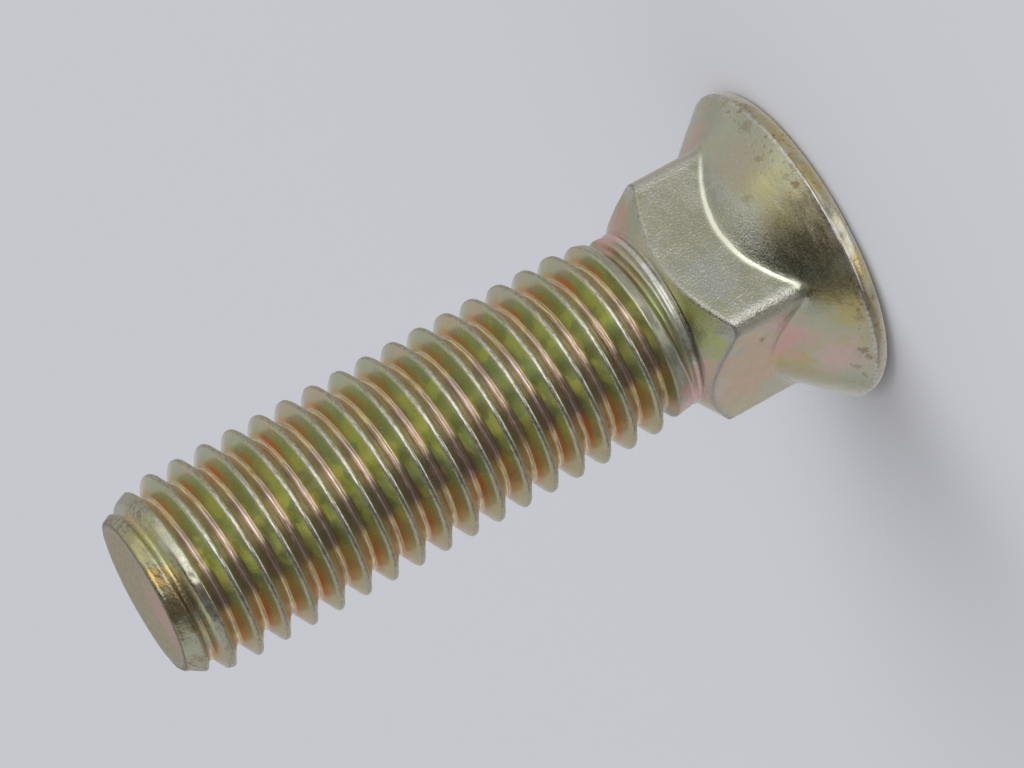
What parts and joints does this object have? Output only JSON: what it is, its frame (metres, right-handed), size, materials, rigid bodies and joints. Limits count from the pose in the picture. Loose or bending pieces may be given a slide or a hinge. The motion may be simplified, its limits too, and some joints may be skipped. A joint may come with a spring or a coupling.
{
  "type": "plow bolt",
  "caption": "Countersunk round-head bolt with a square neck and a coarse right-hand thread along the whole shank, zinc plated in yellow.",
  "frame": {"origin": "centre of the head's flat top, which the bolt stands on", "axes": "+Z along the bolt's axis, from the head's flat top towards the end of the shank; X and Y square to the flats of the neck"},
  "size_m": [0.0258, 0.0258, 0.0574],
  "materials": {
    "yellow_zinc_steel": "forged steel with a bright yellow chromated zinc plating, iridescent green and pink in places"
  },
  "bodies": {
    "root": {"plow_bolt": "yellow_zinc_steel"}
  },
  "joints": []
}
